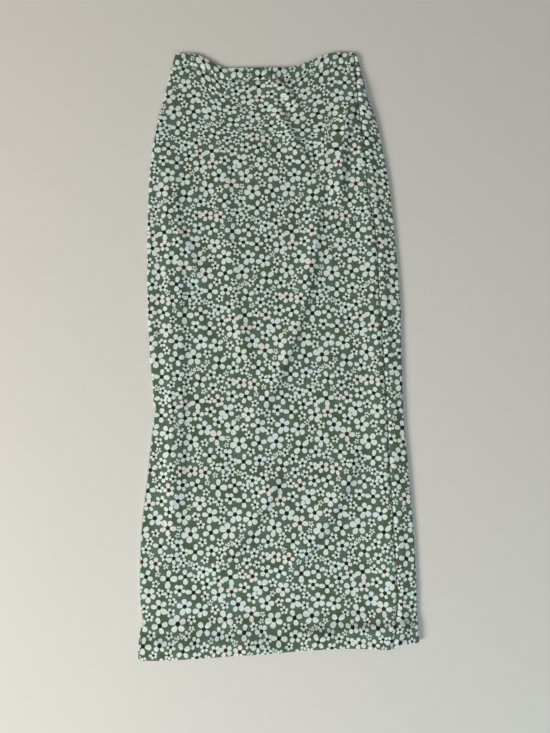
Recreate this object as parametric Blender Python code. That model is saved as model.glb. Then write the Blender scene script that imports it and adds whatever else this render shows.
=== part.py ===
# A stretch-knit midi skirt laid out flat: a narrow column with an elasticated waist,
# a turned-up hem and a slit at one side.
# The front faces up (+Z), the waist points to +Y and the slit opens at -X.
# The tube of cloth has rolled a little, so the back comes round the +X edge onto the top,
# and above the slit the front runs under at the -X edge.

from collections import namedtuple
import math

import bmesh
import bpy
from mathutils import Vector

# Cloth, elastic and seams
CLOTH = 0.0010
SEAM_GAP = 0.0003
BAND = 0.0022
LAYER = CLOTH + SEAM_GAP

# Length of the skirt, depth of its waistband and hem
WAIST_Y = 0.4526
HEM_Y = -0.4535
BAND_DEPTH = 0.019
HEM_DEPTH = 0.044
PANEL_TOP_Y = WAIST_Y - BAND_DEPTH
HEM_TOP_Y = HEM_Y + HEM_DEPTH

# Slit: where it ends, how far the back shows past the front, width of its turned edge in columns
SLIT_TOP_Y = -0.105
SLIT_SHOW = 0.003
SLIT_EDGE_COLUMNS = 3
SEAM_TRIM = 0.09
SLIT_EDGE_WIDTH = 0.040
SLIT_RUN = 0.015

# Height of the middle of the top layer's wall
LOOSE_HEIGHT = LAYER + CLOTH / 2 + 0.0008
SLIT_HEIGHT = 2 * LAYER + CLOTH / 2 + 0.0002
HEM_HEIGHT = 3 * LAYER + CLOTH / 2 + 0.0002
WAIST_HEIGHT = BAND + SEAM_GAP + BAND / 2
STEP_RUN = 0.009
WAIST_RUN = 0.060

# The rounded folds of cloth at the two side edges
LEFT_ROLL = 0.0044
RIGHT_ROLL = 0.0046
LEFT_REACH = 0.016
RIGHT_REACH = 0.012
EDGE_STRIP = 0.012
BACK_CLEAR = 0.006

# Long soft ridge that the side seam's bulk raises, how high, how far out and how wide its fall
SIDE_RIDGE = 0.0034
SIDE_RIDGE_OUT = 0.0140
SIDE_RIDGE_WIDTH = 0.0130

# Columns across and rows along the grids
TOP_COLUMNS = 38
BACK_COLUMNS = 6
WRAP_COLUMNS = 3
ARC_COLUMNS = 6
ROW_STEP = 0.0150
BAND_ROWS = 3
HEM_ROWS = 3

# Outline of the laid skirt. y is the distance up from its middle, left and right are its
# edges, seam is the side seam on top, under is how far the front runs under at the left.
Section = namedtuple("Section", "y left right seam under")
SECTIONS = (
    Section(-0.4535, -0.2025, 0.2025, 0.1620, 0.006),
    Section(-0.4240, -0.2010, 0.2020, 0.1680, 0.006),
    Section(-0.4050, -0.1975, 0.2015, 0.1710, 0.006),
    Section(-0.3700, -0.2010, 0.2025, 0.1730, 0.006),
    Section(-0.3000, -0.2000, 0.2020, 0.1715, 0.006),
    Section(-0.2500, -0.1960, 0.2005, 0.1710, 0.006),
    Section(-0.2000, -0.1895, 0.1985, 0.1695, 0.006),
    Section(-0.1500, -0.1840, 0.1955, 0.1690, 0.006),
    Section(-0.1120, -0.1790, 0.1945, 0.1685, 0.006),
    Section(-0.0850, -0.1770, 0.1945, 0.1680, 0.007),
    Section(-0.0250, -0.1810, 0.1955, 0.1670, 0.014),
    Section(0.0500, -0.1840, 0.1970, 0.1645, 0.022),
    Section(0.1500, -0.1840, 0.1930, 0.1635, 0.028),
    Section(0.2300, -0.1810, 0.1885, 0.1535, 0.030),
    Section(0.2800, -0.1770, 0.1820, 0.1515, 0.028),
    Section(0.3440, -0.1660, 0.1710, 0.1460, 0.022),
    Section(0.3750, -0.1578, 0.1605, 0.1435, 0.018),
    Section(0.4000, -0.1515, 0.1548, 0.1430, 0.015),
    Section(0.4285, -0.1443, 0.1497, 0.1425, 0.012),
    Section(0.4370, -0.1422, 0.1480, 0.1415, 0.012),
    Section(0.4460, -0.1402, 0.1450, 0.1390, 0.012),
    Section(0.4535, -0.1365, 0.1360, 0.1300, 0.012),
)

# Height of the hem's edge above its lowest point, across the skirt
HemPoint = namedtuple("HemPoint", "x lift")
HEM_WAVE = (
    HemPoint(-0.2025, 0.0015),
    HemPoint(-0.1560, 0.0000),
    HemPoint(-0.0300, 0.0030),
    HemPoint(0.0800, 0.0050),
    HemPoint(0.1400, 0.0022),
    HemPoint(0.1620, 0.0018),
    HemPoint(0.1720, 0.0072),
    HemPoint(0.1900, 0.0060),
    HemPoint(0.2025, 0.0080),
)
HEM_WAVE_RUN = 0.080

# The turned hem curls up towards its fold: how far up the skirt that starts, and how high it gets
PuffPoint = namedtuple("PuffPoint", "x up height")
HEM_PUFF = (
    PuffPoint(-0.2025, 0.038, 0.0034),
    PuffPoint(-0.1000, 0.037, 0.0040),
    PuffPoint(0.0400, 0.034, 0.0040),
    PuffPoint(0.1200, 0.046, 0.0034),
    PuffPoint(0.1650, 0.046, 0.0018),
    PuffPoint(0.2025, 0.046, 0.0012),
)
HEM_PUFF_RUN = 0.030

# The slack elastic dips in the middle of the waist and stands highest near its corners
DIP_DEPTH = 0.0240
DIP_LEFT_END = -0.114
DIP_LEFT_FLAT = -0.058
DIP_RIGHT_FLAT = 0.030
DIP_RIGHT_END = 0.116
DIP_RUN = 0.150
CORNER_DROP = 0.0028

# Largest folds of the front, from the waist down. Each is a ridge whose steep side falls to the
# right along a line through three points of the layout; width is that of the fall.
Fold = namedtuple("Fold", "name start middle end height width")
FOLDS = (
    Fold("hip drag", (0.144, 0.382), (0.123, 0.296), (0.115, 0.196), 0.0058, 0.0105),
    Fold("dart drag", (0.006, 0.412), (0.038, 0.330), (0.074, 0.268), 0.0032, 0.0100),
    Fold("long diagonal", (0.078, 0.275), (0.058, 0.062), (-0.042, -0.150), 0.0044, 0.0110),
    Fold("low right", (0.134, -0.150), (0.084, -0.264), (-0.002, -0.366), 0.0040, 0.0140),
    Fold("low middle", (0.018, -0.190), (-0.037, -0.281), (-0.112, -0.362), 0.0038, 0.0130),
    Fold("left of middle", (-0.058, 0.335), (-0.053, 0.125), (-0.024, -0.070), 0.0020, 0.0100),
    Fold("left side", (-0.143, 0.350), (-0.130, 0.020), (-0.142, -0.360), 0.0034, 0.0105),
    Fold("left dart", (-0.046, 0.402), (-0.066, 0.384), (-0.094, 0.352), 0.0013, 0.0090),
    Fold("right dart", (-0.004, 0.424), (0.030, 0.398), (0.062, 0.352), 0.0032, 0.0095),
)
FOLD_STEPS = 18
FOLD_FADE = 0.22
RIDGE_BACK = 2.2
RIDGE_CREST = 0.7

# Colour, roughness and metallic value of each material
Finish = namedtuple("Finish", "name colour roughness metallic")
PRINTED_CLOTH = Finish("sage_daisy_jersey", (0.205, 0.260, 0.205), 0.85, 0.0)
BAND_CLOTH = Finish("gathered_jersey", (0.190, 0.240, 0.190), 0.85, 0.0)
TURNED_CLOTH = Finish("turned_jersey", (0.620, 0.640, 0.610), 0.90, 0.0)


def clamp(value, low, high):
    return max(low, min(high, value))


def ease(value):
    share = clamp(value, 0.0, 1.0)
    return share * share * (3.0 - 2.0 * share)


def slope_at(points, index):
    first = points[max(index - 1, 0)]
    last = points[min(index + 1, len(points) - 1)]
    return (last[1] - first[1]) / (last[0] - first[0])


def read_table(rows, key, column, at):
    # Smooth curve through one column of a table, read at a value of its key column
    points = [(getattr(row, key), getattr(row, column)) for row in rows]
    at = clamp(at, points[0][0], points[-1][0])
    index = 0
    while index < len(points) - 2 and at > points[index + 1][0]:
        index += 1
    (x0, y0), (x1, y1) = points[index], points[index + 1]
    run = x1 - x0
    t = (at - x0) / run
    start = slope_at(points, index) * run
    end = slope_at(points, index + 1) * run
    return (
        (2 * t**3 - 3 * t**2 + 1) * y0
        + (t**3 - 2 * t**2 + t) * start
        + (3 * t**2 - 2 * t**3) * y1
        + (t**3 - t**2) * end
    )


def left_edge(y):
    return read_table(SECTIONS, "y", "left", y)


def right_edge(y):
    return read_table(SECTIONS, "y", "right", y)


def top_seam(y):
    return read_table(SECTIONS, "y", "seam", y)


def settled_y(x, y):
    # Place of a point along the skirt, once the waist has dipped and the hem has waved
    dip = DIP_DEPTH * ease((x - DIP_LEFT_END) / (DIP_LEFT_FLAT - DIP_LEFT_END))
    dip *= 1.0 - ease((x - DIP_RIGHT_FLAT) / (DIP_RIGHT_END - DIP_RIGHT_FLAT))
    dip += CORNER_DROP * clamp((DIP_RIGHT_END - x) / (DIP_RIGHT_END - DIP_LEFT_END), 0.0, 1.0)
    waist_share = ease((y - (PANEL_TOP_Y - DIP_RUN)) / DIP_RUN)
    hem_share = ease((HEM_TOP_Y + HEM_WAVE_RUN - y) / (HEM_DEPTH + HEM_WAVE_RUN))
    lift = read_table(HEM_WAVE, "x", "lift", x)
    return y - dip * waist_share + lift * hem_share


def fold_line(fold):
    # Points along the fall, a parabola through the fold's start, middle and end
    points = []
    for step in range(FOLD_STEPS + 1):
        t = step / FOLD_STEPS
        a = (1 - t) * (1 - 2 * t)
        b = 4 * t * (1 - t)
        c = t * (2 * t - 1)
        x = a * fold.start[0] + b * fold.middle[0] + c * fold.end[0]
        y = a * fold.start[1] + b * fold.middle[1] + c * fold.end[1]
        points.append((x, y))
    return points


FOLD_LINES = [(fold, fold_line(fold)) for fold in FOLDS]


def ridge(distance, width):
    # Share of a ridge's height, steepest where distance is 0, gentler beyond the crest
    from_crest = distance + RIDGE_CREST * width
    side = width if from_crest > 0.0 else RIDGE_BACK * width
    return math.exp(-((from_crest / side) ** 2))


def fold_height(x, y):
    height = 0.0
    for fold, line in FOLD_LINES:
        nearest = 1.0
        along = 0.0
        right_of_line = 1.0
        for step in range(FOLD_STEPS):
            (ax, ay), (bx, by) = line[step], line[step + 1]
            dx, dy = bx - ax, by - ay
            share = clamp(((x - ax) * dx + (y - ay) * dy) / (dx * dx + dy * dy), 0.0, 1.0)
            distance = math.hypot(x - ax - share * dx, y - ay - share * dy)
            if distance < nearest:
                nearest = distance
                along = (step + share) / FOLD_STEPS
                right_of_line = math.copysign(1.0, dx * (y - ay) - dy * (x - ax))
        fade = ease(along / FOLD_FADE) * ease((1.0 - along) / FOLD_FADE)
        height += fold.height * fade * ridge(right_of_line * nearest, fold.width)
    return height


def side_ridge(x, y):
    below_waist = ease((PANEL_TOP_Y - y) / WAIST_RUN)
    return SIDE_RIDGE * below_waist * ridge(x - top_seam(y) - SIDE_RIDGE_OUT, SIDE_RIDGE_WIDTH)


def slit_closed(y):
    # 1 above the slit, where the side edge is a fold, and 0 beside the open slit
    return ease((y - SLIT_TOP_Y) / (3 * SLIT_RUN))


def resting_height(x, y):
    # Height that the layers below the front's wall ask for
    hem = ease((HEM_TOP_Y + STEP_RUN - y) / STEP_RUN)
    in_slit = ease((SLIT_TOP_Y + SLIT_RUN - y) / SLIT_RUN)
    beside_slit = ease((left_edge(y) + SLIT_EDGE_WIDTH + STEP_RUN - x) / STEP_RUN)
    waist = ease((y - (PANEL_TOP_Y - WAIST_RUN)) / (WAIST_RUN - STEP_RUN))
    return max(
        LOOSE_HEIGHT + (HEM_HEIGHT - LOOSE_HEIGHT) * hem,
        LOOSE_HEIGHT + (SLIT_HEIGHT - LOOSE_HEIGHT) * in_slit * beside_slit,
        LOOSE_HEIGHT + (WAIST_HEIGHT - LOOSE_HEIGHT) * waist,
    )


def hem_puff(x, y):
    start = HEM_Y + read_table(HEM_PUFF, "x", "up", x)
    return read_table(HEM_PUFF, "x", "height", x) * ease((start - y) / HEM_PUFF_RUN)


def top_height(x, y):
    # Height of the middle of the top layer's wall
    rest = resting_height(x, y)
    from_left = max(x - left_edge(y) - LEFT_ROLL / 2, 0.0)
    from_right = max(right_edge(y) - RIGHT_ROLL / 2 - x, 0.0)
    left_roll = (LEFT_ROLL - rest) * slit_closed(y) * math.exp(-((from_left / LEFT_REACH) ** 2))
    right_roll = (RIGHT_ROLL - rest) * math.exp(-((from_right / RIGHT_REACH) ** 2))
    folds = side_ridge(x, y) + hem_puff(x, y) + fold_height(x, settled_y(x, y))
    return rest + left_roll + right_roll + folds


def spread(start, end, count):
    # count values from start, the last one a step short of end
    return [start + (end - start) * step / count for step in range(count)]


def back_row(y, wall):
    # Middle of the back's wall: flat under the skirt, round the right edge, then on top
    in_slit = y < SLIT_TOP_Y - SLIT_RUN / 2
    left = left_edge(y)
    start = left if in_slit else left + read_table(SECTIONS, "y", "under", y) + SEAM_GAP
    start = max(start, left + BACK_CLEAR) if not in_slit else start
    right = right_edge(y)
    low = wall / 2
    radius = (top_height(right - RIGHT_ROLL / 2, y) - low) / 2
    turn = right - radius - wall / 2
    row = [(x, low) for x in spread(start, turn, BACK_COLUMNS)]
    for step in range(ARC_COLUMNS):
        angle = -math.pi / 2 + math.pi * step / ARC_COLUMNS
        row.append((turn + radius * math.cos(angle), low + radius + radius * math.sin(angle)))
    row.append((turn, low + 2 * radius))
    end = top_seam(y) + SEAM_GAP / 2
    for x in spread(turn, end, WRAP_COLUMNS)[1:] + [end]:
        row.append((x, top_height(x, y)))
    return row


def front_row(y, wall):
    # Middle of the front's wall: from the seam on top to the left edge, and under above the slit
    left = left_edge(y)
    start = top_seam(y) - SEAM_GAP / 2
    strip = left + EDGE_STRIP
    row = [(x, top_height(x, y)) for x in spread(start, strip, TOP_COLUMNS)]
    if y < SLIT_TOP_Y + SLIT_RUN / 2:
        end = left + SLIT_SHOW
        for x in spread(strip, end, ARC_COLUMNS + 2) + [end]:
            row.append((x, top_height(x, y)))
        return row
    low = wall / 2
    radius = (top_height(left + LEFT_ROLL / 2, y) - low) / 2
    turn = left + radius + wall / 2
    row.append((strip, top_height(strip, y)))
    for step in range(ARC_COLUMNS + 1):
        angle = math.pi / 2 + math.pi * step / ARC_COLUMNS
        row.append((turn + radius * math.cos(angle), low + radius + radius * math.sin(angle)))
    row.append((max(left + read_table(SECTIONS, "y", "under", y), turn + SEAM_GAP), low))
    return row


def grid_of(make_row, wall, rows):
    # Rows of points, from hem to waist, for one piece of cloth
    grid = []
    for y in rows:
        grid.append([Vector((x, settled_y(x, y), z)) for x, z in make_row(y, wall)])
    return grid


def panel_rows():
    # Rows from the hem to the waist seam, closer at the hem's step and at the top of the slit
    rows = spread(HEM_Y, HEM_TOP_Y, HEM_ROWS) + [HEM_TOP_Y]
    below = (HEM_TOP_Y + STEP_RUN, SLIT_TOP_Y - SLIT_RUN)
    rows += spread(*below, round((below[1] - below[0]) / ROW_STEP))
    rows += [below[1], SLIT_TOP_Y, SLIT_TOP_Y + SLIT_RUN]
    above = (SLIT_TOP_Y + SLIT_RUN, PANEL_TOP_Y - SEAM_GAP / 2)
    rows += spread(*above, round((above[1] - above[0]) / ROW_STEP))[1:]
    return rows + [above[1]]


def band_rows():
    bottom = PANEL_TOP_Y + SEAM_GAP / 2
    return spread(bottom, WAIST_Y, BAND_ROWS) + [WAIST_Y]


def normals_of(grid):
    # Normal at each point, from its neighbours along both ways of the grid
    normals = []
    for r, row in enumerate(grid):
        line = []
        for c in range(len(row)):
            across = row[min(c + 1, len(row) - 1)] - row[max(c - 1, 0)]
            along = grid[min(r + 1, len(grid) - 1)][c] - grid[max(r - 1, 0)][c]
            line.append(across.cross(along).normalized())
        normals.append(line)
    return normals


def moved_out(grid, distance):
    # The same piece of cloth, moved along its normals
    normals = normals_of(grid)
    return [
        [point + normal * distance for point, normal in zip(row, line)]
        for row, line in zip(grid, normals)
    ]


def add_walls(mesh, outer, inner):
    # Faces of a closed wall between its outer and inner grids of points
    rows, columns = len(outer), len(outer[0])
    top = [[mesh.verts.new(point) for point in row] for row in outer]
    low = [[mesh.verts.new(point) for point in row] for row in inner]
    for r in range(rows - 1):
        for c in range(columns - 1):
            mesh.faces.new((top[r][c], top[r][c + 1], top[r + 1][c + 1], top[r + 1][c]))
            mesh.faces.new((low[r][c], low[r + 1][c], low[r + 1][c + 1], low[r][c + 1]))
    for r in range(rows - 1):
        mesh.faces.new((top[r][0], top[r + 1][0], low[r + 1][0], low[r][0]))
        mesh.faces.new((low[r][-1], low[r + 1][-1], top[r + 1][-1], top[r][-1]))
    for c in range(columns - 1):
        mesh.faces.new((low[0][c], low[0][c + 1], top[0][c + 1], top[0][c]))
        mesh.faces.new((top[-1][c], top[-1][c + 1], low[-1][c + 1], low[-1][c]))


def make_material(finish):
    material = bpy.data.materials.new(finish.name)
    material.use_nodes = True
    shader = material.node_tree.nodes["Principled BSDF"]
    shader.inputs["Base Color"].default_value = (*finish.colour, 1.0)
    shader.inputs["Roughness"].default_value = finish.roughness
    shader.inputs["Metallic"].default_value = finish.metallic
    return material


def make_cloth(name, grid, wall, material):
    # One piece of cloth as a closed wall of even thickness
    mesh = bmesh.new()
    add_walls(mesh, moved_out(grid, wall / 2), moved_out(grid, -wall / 2))
    bmesh.ops.recalc_face_normals(mesh, faces=mesh.faces)
    bmesh.ops.triangulate(mesh, faces=mesh.faces)
    data = bpy.data.meshes.new(name)
    mesh.to_mesh(data)
    mesh.free()
    data.shade_smooth()
    data.set_sharp_from_angle(angle=math.radians(50))
    data.materials.append(material)
    piece = bpy.data.objects.new(name, data)
    bpy.context.scene.collection.objects.link(piece)
    return piece


def build_skirt():
    for old in list(bpy.context.scene.objects):
        bpy.data.objects.remove(old)

    printed = make_material(PRINTED_CLOTH)
    gathered = make_material(BAND_CLOTH)
    turned = make_material(TURNED_CLOTH)

    rows = panel_rows()
    front = grid_of(front_row, CLOTH, rows)
    back = grid_of(back_row, CLOTH, rows)
    make_cloth("front_panel", front, CLOTH, printed)
    make_cloth("back_panel", back, CLOTH, printed)

    make_cloth("waistband_front", grid_of(front_row, BAND, band_rows()), BAND, gathered)
    make_cloth("waistband_back", grid_of(back_row, BAND, band_rows()), BAND, gathered)

    # Both grids run so that their normals point to the inside of the tube or away from it
    hem_rows = HEM_ROWS + 1
    inward = -LAYER
    front_inside = moved_out(front, inward * facing_up(front))
    back_inside = moved_out(back, inward * facing_out(back))
    # the front's turned hem stops just short of the seam
    trimmed = [[row[0].lerp(row[1], SEAM_TRIM)] + row[1:] for row in front_inside[:hem_rows]]
    make_cloth("front_hem", trimmed, CLOTH, turned)
    make_cloth("back_hem", back_inside[:hem_rows], CLOTH, turned)

    slit_rows = [r for r, y in enumerate(rows) if HEM_TOP_Y < y <= SLIT_TOP_Y - SLIT_RUN]
    edge = [front_inside[r][TOP_COLUMNS - SLIT_EDGE_COLUMNS:] for r in slit_rows]
    make_cloth("front_slit_edge", edge, CLOTH, turned)


def facing_up(grid):
    # 1 where the front's normals point up, away from the inside, otherwise -1
    return 1 if normals_of(grid)[1][1].z > 0 else -1


def facing_out(grid):
    # 1 where the back's normals point down, away from the inside, otherwise -1
    return 1 if normals_of(grid)[1][1].z < 0 else -1


build_skirt()
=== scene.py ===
import math
import random

import bpy
import numpy as np
from mathutils import Matrix, Vector


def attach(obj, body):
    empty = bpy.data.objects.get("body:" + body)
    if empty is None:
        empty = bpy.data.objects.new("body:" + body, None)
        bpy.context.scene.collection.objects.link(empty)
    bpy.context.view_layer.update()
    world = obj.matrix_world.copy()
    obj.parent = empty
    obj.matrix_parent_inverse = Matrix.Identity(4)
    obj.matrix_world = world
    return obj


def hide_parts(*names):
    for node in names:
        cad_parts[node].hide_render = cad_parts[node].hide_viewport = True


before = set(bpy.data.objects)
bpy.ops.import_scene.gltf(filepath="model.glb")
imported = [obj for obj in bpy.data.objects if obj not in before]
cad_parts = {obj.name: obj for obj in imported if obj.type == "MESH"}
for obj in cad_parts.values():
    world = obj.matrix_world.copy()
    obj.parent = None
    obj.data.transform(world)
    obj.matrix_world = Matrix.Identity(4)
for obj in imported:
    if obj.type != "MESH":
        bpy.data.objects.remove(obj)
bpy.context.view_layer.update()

scene = bpy.context.scene
scene.view_settings.view_transform = "Standard"
print("frame loaded:", len(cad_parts), "pieces of cloth")


# How the skirt lies. Metres, y runs from the hem up to the waist.
layout = {
    "cloth": 0.0010,
    "seamGap": 0.0003,
    "seamWobble": 0.0007,
    "seamWobbleEvery": 0.027,
    "bandWall": 0.0022,
    "waistY": 0.4526,
    "hemY": -0.4535,
    "bandDepth": 0.019,
    "hemDepth": 0.044,
    "slitTopY": -0.105,
    "slitRun": 0.015,
    "slitShow": 0.003,
    "slitEdgeWidth": 0.040,
    # height of the rolled edges, and how far in the cloth still rises or falls to them
    "leftRoll": 0.0044,
    "rightRoll": 0.0046,
    "leftReach": 0.016,
    "rightReach": 0.012,
    # long soft ridge beside the right seam
    "sideRidge": 0.0044,
    "sideRidgeWidth": 0.0130,
    "sideRidgeOut": 0.0140,
    "edgeStrip": 0.012,
    "backClear": 0.006,
    "stepRun": 0.009,
    "waistRun": 0.060,
    "air": 0.0008,
    "spare": 0.0002,
    # y, left edge, right edge, seam on top, how far the front runs under at the left
    "sections": (
        (-0.4535, -0.2025, 0.2025, 0.1620, 0.006),
        (-0.4240, -0.2010, 0.2020, 0.1680, 0.006),
        (-0.4050, -0.1975, 0.2015, 0.1710, 0.006),
        (-0.3700, -0.2010, 0.2025, 0.1730, 0.006),
        (-0.3000, -0.2000, 0.2020, 0.1715, 0.006),
        (-0.2500, -0.1960, 0.2005, 0.1710, 0.006),
        (-0.2000, -0.1895, 0.1985, 0.1695, 0.006),
        (-0.1500, -0.1840, 0.1955, 0.1690, 0.006),
        (-0.1120, -0.1790, 0.1945, 0.1685, 0.006),
        (-0.0850, -0.1770, 0.1945, 0.1680, 0.007),
        (-0.0250, -0.1810, 0.1955, 0.1670, 0.014),
        (0.0500, -0.1840, 0.1970, 0.1645, 0.022),
        (0.1500, -0.1840, 0.1930, 0.1635, 0.028),
        (0.2300, -0.1810, 0.1885, 0.1535, 0.030),
        (0.2800, -0.1770, 0.1820, 0.1515, 0.028),
        (0.3440, -0.1660, 0.1710, 0.1460, 0.022),
        (0.3750, -0.1578, 0.1605, 0.1435, 0.018),
        (0.4000, -0.1515, 0.1548, 0.1430, 0.015),
        (0.4285, -0.1443, 0.1497, 0.1425, 0.012),
        (0.4370, -0.1422, 0.1480, 0.1415, 0.012),
        (0.4460, -0.1402, 0.1450, 0.1390, 0.012),
        (0.4535, -0.1365, 0.1360, 0.1300, 0.012),
    ),
    # x, lift of the hem's edge
    "hemWave": (
        (-0.2025, 0.0015),
        (-0.1560, 0.0000),
        (-0.0300, 0.0030),
        (0.0800, 0.0050),
        (0.1400, 0.0022),
        (0.1620, 0.0018),
        (0.1720, 0.0072),
        (0.1900, 0.0060),
        (0.2025, 0.0080),
    ),
    "hemWaveRun": 0.080,
    "dipDepth": 0.0240,
    "dipLeft": (-0.114, -0.058),
    "dipRight": (0.030, 0.116),
    "dipRun": 0.150,
    "cornerDrop": 0.0028,
    # x, how far up the turned hem starts to curl, how high it gets at its fold
    "hemPuff": (
        (-0.2025, 0.036, 0.0034),
        (-0.1000, 0.035, 0.0042),
        (0.0400, 0.033, 0.0044),
        (0.1200, 0.042, 0.0040),
        (0.1650, 0.042, 0.0028),
        (0.2025, 0.042, 0.0022),
    ),
    "hemPuffRun": 0.019,
}

# Creases of the top layer, from the waist down: start, middle and end of the line where the cloth
# falls away to the right, height of the ridge left of it, width of the fall
creases = {
    "hip drag": ((0.144, 0.382), (0.123, 0.296), (0.115, 0.196), 0.0060, 0.0082),
    "dart drag": ((0.006, 0.412), (0.038, 0.330), (0.074, 0.268), 0.0034, 0.0058),
    "narrow pleat": ((0.100, 0.368), (0.095, 0.290), (0.080, 0.196), 0.0019, 0.0048),
    "long diagonal": ((0.078, 0.275), (0.058, 0.062), (-0.042, -0.150), 0.0038, 0.0074),
    "long diagonal low": ((0.048, 0.036), (0.012, -0.062), (-0.048, -0.164), 0.0022, 0.0068),
    "low right": ((0.134, -0.150), (0.084, -0.264), (-0.002, -0.366), 0.0050, 0.0082),
    "low middle": ((0.018, -0.190), (-0.037, -0.281), (-0.112, -0.362), 0.0046, 0.0072),
    "left of middle": ((-0.058, 0.335), (-0.053, 0.125), (-0.024, -0.070), 0.0020, 0.0078),
    "left side": ((-0.143, 0.350), (-0.130, 0.020), (-0.142, -0.360), 0.0034, 0.0090),
    "short left": ((-0.134, 0.184), (-0.115, 0.132), (-0.104, 0.086), 0.0022, 0.0060),
    "left dart": ((-0.046, 0.402), (-0.066, 0.384), (-0.094, 0.352), 0.0013, 0.0055),
    "right dart": ((-0.004, 0.424), (0.030, 0.398), (0.062, 0.352), 0.0034, 0.0058),
}
ridgeBack = 2.2  # how much gentler the left side of a ridge is than its fall
ridgeCrest = 0.7  # how far left of its fall the crest lies, in widths

clothWall = layout["cloth"]
layer = clothWall + layout["seamGap"]
panelTopY = layout["waistY"] - layout["bandDepth"]
hemTopY = layout["hemY"] + layout["hemDepth"]


def ease(value):
    share = np.clip(value, 0.0, 1.0)
    return share * share * (3.0 - 2.0 * share)


def bell(distance, width):
    return np.exp(-((distance / width) ** 2))


def fading(distance, reach):
    return np.exp(-(np.abs(distance) / reach))


def shares(count):
    return np.linspace(0.0, 1.0, count + 1)[None, :]


def curveThrough(points, at):
    # smooth curve through (key, value) pairs
    keys, values = np.array(points, float).T
    slopes = np.empty(len(keys))
    slopes[1:-1] = (values[2:] - values[:-2]) / (keys[2:] - keys[:-2])
    slopes[0] = (values[1] - values[0]) / (keys[1] - keys[0])
    slopes[-1] = (values[-1] - values[-2]) / (keys[-1] - keys[-2])
    at = np.clip(at, keys[0], keys[-1])
    i = np.clip(np.searchsorted(keys, at) - 1, 0, len(keys) - 2)
    run = keys[i + 1] - keys[i]
    t = (at - keys[i]) / run
    return (
        (2 * t**3 - 3 * t**2 + 1) * values[i]
        + (t**3 - 2 * t**2 + t) * slopes[i] * run
        + (3 * t**2 - 2 * t**3) * values[i + 1]
        + (t**3 - t**2) * slopes[i + 1] * run
    )


def sectionCurve(column):
    points = [(row[0], row[column]) for row in layout["sections"]]
    return lambda y: curveThrough(points, y)


leftEdge, rightEdge, seamCurve, frontUnder = (sectionCurve(column) for column in (1, 2, 3, 4))


def unevenWave(along, every, phase=0.0):
    # a ripple whose spacing and height wander, by slower waves of unlike lengths
    wander = 0.9 * np.sin(along / (every * 3.7) + phase) + 0.6 * np.sin(along / (every * 1.9) + 2.1 * phase)
    size = 0.62 + 0.38 * np.sin(along / (every * 2.3) + 1.3 + phase)
    return size * np.sin(2 * math.pi * along / every + 2.2 * wander)


def topSeam(y):
    return seamCurve(y) + layout["seamWobble"] * unevenWave(y, layout["seamWobbleEvery"])


def settledY(x, y):
    # the slack waist dips in the middle and the hem waves a little
    leftEnd, leftFlat = layout["dipLeft"]
    rightFlat, rightEnd = layout["dipRight"]
    dip = layout["dipDepth"] * ease((x - leftEnd) / (leftFlat - leftEnd))
    dip = dip * (1.0 - ease((x - rightFlat) / (rightEnd - rightFlat)))
    dip = dip + layout["cornerDrop"] * np.clip((rightEnd - x) / (rightEnd - leftEnd), 0.0, 1.0)
    waistShare = ease((y - (panelTopY - layout["dipRun"])) / layout["dipRun"])
    waveRun = layout["hemWaveRun"]
    hemShare = ease((hemTopY + waveRun - y) / (layout["hemDepth"] + waveRun))
    return y - dip * waistShare + curveThrough(layout["hemWave"], x) * hemShare


def ridgeProfile(distance, width):
    # steepest where distance is 0, gentler on the other side of the crest
    fromCrest = distance + ridgeCrest * width
    return bell(fromCrest, np.where(fromCrest > 0, width, ridgeBack * width))


def nearLine(x, y, start, end):
    # share of the way along a straight line, distance from it, and the side: for a line that runs
    # down the skirt, 1 on its right and -1 on its left
    (ax, ay), (bx, by) = start, end
    dx, dy = bx - ax, by - ay
    share = np.clip(((x - ax) * dx + (y - ay) * dy) / (dx * dx + dy * dy), 0.0, 1.0)
    distance = np.hypot(x - ax - share * dx, y - ay - share * dy)
    return share, distance, np.sign(dx * (y - ay) - dy * (x - ax))


def creaseHeight(x, y, crease, steps=18, fade=0.22):
    # soft ridge along a parabola through the crease's three points
    start, middle, end, height, width = crease
    t = np.linspace(0.0, 1.0, steps + 1)[:, None]
    line = (1 - t) * (1 - 2 * t) * np.array(start) + 4 * t * (1 - t) * np.array(middle)
    line = line + t * (2 * t - 1) * np.array(end)
    nearest = np.full(np.shape(x), 1.0)
    along = np.zeros(np.shape(x))
    side = np.ones(np.shape(x))
    for step in range(steps):
        share, distance, hand = nearLine(x, y, line[step], line[step + 1])
        closer = distance < nearest
        nearest = np.where(closer, distance, nearest)
        along = np.where(closer, (step + share) / steps, along)
        side = np.where(closer, hand, side)
    ends = ease(along / fade) * ease((1.0 - along) / fade)
    return height * ends * ridgeProfile(side * nearest, width)


def slitClosed(y):
    # the edge is fully rolled only some way above the slit
    return ease((y - layout["slitTopY"]) / (3 * layout["slitRun"]))


def restingHeight(x, y):
    # height of the top layer's middle: over the back, both turned hems, or the back and the slit's edge
    run = layout["stepRun"]
    loose = layer + clothWall / 2 + layout["air"]
    overHem = 3 * layer + clothWall / 2 + layout["spare"]
    overSlit = 2 * layer + clothWall / 2 + layout["spare"]
    atWaist = layout["bandWall"] + layout["seamGap"] + layout["bandWall"] / 2
    hem = ease((hemTopY + run - y) / run)
    inSlit = ease((layout["slitTopY"] + layout["slitRun"] - y) / layout["slitRun"])
    besideSlit = ease((leftEdge(y) + layout["slitEdgeWidth"] + run - x) / run)
    waist = ease((y - (panelTopY - layout["waistRun"])) / (layout["waistRun"] - run))
    rises = ((overHem - loose) * hem, (overSlit - loose) * inSlit * besideSlit, (atWaist - loose) * waist)
    return loose + np.maximum.reduce(np.broadcast_arrays(*rises))


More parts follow.
